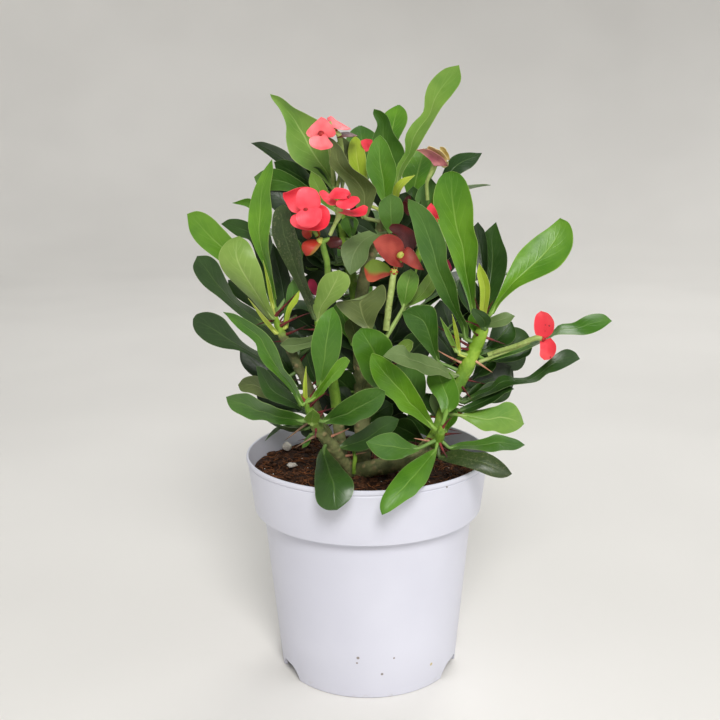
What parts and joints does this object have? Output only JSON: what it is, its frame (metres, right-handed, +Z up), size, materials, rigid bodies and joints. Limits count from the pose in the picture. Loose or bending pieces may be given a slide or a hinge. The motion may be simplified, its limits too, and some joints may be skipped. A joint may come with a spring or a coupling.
{
  "type": "potted euphorbia",
  "caption": "Upright spiny houseplant with spoon-shaped leaves and small red flowers, growing in a round tapered pot with a deep collar.",
  "frame": {"origin": "centre of the pot's foot, on the surface it stands on", "axes": "+Z up, -Y towards the front"},
  "size_m": [0.2072, 0.1447, 0.2948],
  "materials": {
    "flower_left_1": "coral red bracts on a green stalk",
    "flower_left_2": "coral red bracts on a green stalk",
    "flower_left_3": "coral red bracts on a green stalk",
    "flower_left_4": "coral red bracts on a green stalk",
    "flower_middle_1": "brick red bracts",
    "flower_middle_2": "maroon and brick red bracts",
    "flower_right_1": "coral red bracts on a green stalk",
    "flower_stalk_left": "orange-red bracts on a reddish stalk",
    "flower_top_1": "coral red bracts on a green stalk",
    "flower_top_2": "coral red bracts on a green stalk",
    "flower_top_3": "fading yellow-orange bracts",
    "leaf_back_1": "glossy bright green leaf with a pale midrib",
    "leaf_back_2": "mid green leaf with a pale midrib",
    "leaf_back_3": "dark green leaf",
    "leaf_back_4": "mid green leaf with a pale midrib",
    "leaf_back_5": "glossy bright green leaf with a pale midrib",
    "leaf_back_6": "mid green leaf with a pale midrib",
    "leaf_left_1": "glossy bright green leaf with a pale midrib",
    "leaf_left_2": "pale green underside of a leaf",
    "leaf_left_3": "glossy bright green leaf with a pale midrib",
    "leaf_left_4": "dark green leaf",
    "leaf_left_5": "dark green leaf",
    "leaf_left_6": "glossy bright green leaf with a pale midrib",
    "leaf_left_7": "dark green leaf",
    "leaf_low_left_1": "mid green leaf with a pale midrib",
    "leaf_low_left_2": "glossy bright green leaf with a pale midrib",
    "leaf_low_left_3": "mid green leaf with a pale midrib",
    "leaf_low_left_4": "dark green leaf",
    "leaf_low_right_1": "pale green underside of a leaf",
    "leaf_low_right_2": "mid green leaf with a pale midrib",
    "leaf_low_right_3": "dark green leaf",
    "leaf_low_right_4": "glossy bright green leaf with a pale midrib",
    "leaf_low_right_5": "mid green leaf with a pale midrib",
    "leaf_low_right_6": "glossy bright green leaf with a pale midrib",
    "leaf_low_right_7": "glossy bright green leaf with a pale midrib",
    "leaf_middle_1": "dark green leaf",
    "leaf_middle_2": "grey-green leaf",
    "leaf_middle_3": "dark green leaf",
    "leaf_right_1": "glossy bright green leaf with a pale midrib",
    "leaf_right_2": "mid green leaf with a pale midrib",
    "leaf_right_3": "glossy bright green leaf with a pale midrib",
    "leaf_right_4": "dark green leaf",
    "leaf_right_5": "mid green leaf with a pale midrib",
    "leaf_right_6": "mid green leaf with a pale midrib",
    "leaf_right_7": "dark green leaf",
    "leaf_top_1": "light green leaf",
    "leaf_top_2": "dark green leaf",
    "leaf_top_3": "dark green leaf",
    "leaf_top_4": "light green leaf",
    "leaf_top_5": "dark green leaf",
    "leaf_top_6": "light green leaf",
    "leaf_top_7": "dark green leaf",
    "perlite_1": "rough white expanded grain",
    "perlite_2": "rough white expanded grain",
    "pot": "smooth moulded plastic, faintly lavender white, soft sheen",
    "soil": "dark crumbly coir compost with reddish fibres",
    "stem": "knobbly grey-green bark with paler scars, brownish thorns"
  },
  "bodies": {
    "root": {"flower_left_1": "flower_left_1", "flower_left_2": "flower_left_2", "flower_left_3": "flower_left_3", "flower_left_4": "flower_left_4", "flower_middle_1": "flower_middle_1", "flower_middle_2": "flower_middle_2", "flower_right_1": "flower_right_1", "flower_stalk_left": "flower_stalk_left", "flower_top_1": "flower_top_1", "flower_top_2": "flower_top_2", "flower_top_3": "flower_top_3", "leaf_back_1": "leaf_back_1", "leaf_back_2": "leaf_back_2", "leaf_back_3": "leaf_back_3", "leaf_back_4": "leaf_back_4", "leaf_back_5": "leaf_back_5", "leaf_back_6": "leaf_back_6", "leaf_left_1": "leaf_left_1", "leaf_left_2": "leaf_left_2", "leaf_left_3": "leaf_left_3", "leaf_left_4": "leaf_left_4", "leaf_left_5": "leaf_left_5", "leaf_left_6": "leaf_left_6", "leaf_left_7": "leaf_left_7", "leaf_low_left_1": "leaf_low_left_1", "leaf_low_left_2": "leaf_low_left_2", "leaf_low_left_3": "leaf_low_left_3", "leaf_low_left_4": "leaf_low_left_4", "leaf_low_right_1": "leaf_low_right_1", "leaf_low_right_2": "leaf_low_right_2", "leaf_low_right_3": "leaf_low_right_3", "leaf_low_right_4": "leaf_low_right_4", "leaf_low_right_5": "leaf_low_right_5", "leaf_low_right_6": "leaf_low_right_6", "leaf_low_right_7": "leaf_low_right_7", "leaf_middle_1": "leaf_middle_1", "leaf_middle_2": "leaf_middle_2", "leaf_middle_3": "leaf_middle_3", "leaf_right_1": "leaf_right_1", "leaf_right_2": "leaf_right_2", "leaf_right_3": "leaf_right_3", "leaf_right_4": "leaf_right_4", "leaf_right_5": "leaf_right_5", "leaf_right_6": "leaf_right_6", "leaf_right_7": "leaf_right_7", "leaf_top_1": "leaf_top_1", "leaf_top_2": "leaf_top_2", "leaf_top_3": "leaf_top_3", "leaf_top_4": "leaf_top_4", "leaf_top_5": "leaf_top_5", "leaf_top_6": "leaf_top_6", "leaf_top_7": "leaf_top_7", "perlite_1": "perlite_1", "perlite_2": "perlite_2", "pot": "pot", "soil": "soil", "stem": "stem"}
  },
  "joints": []
}
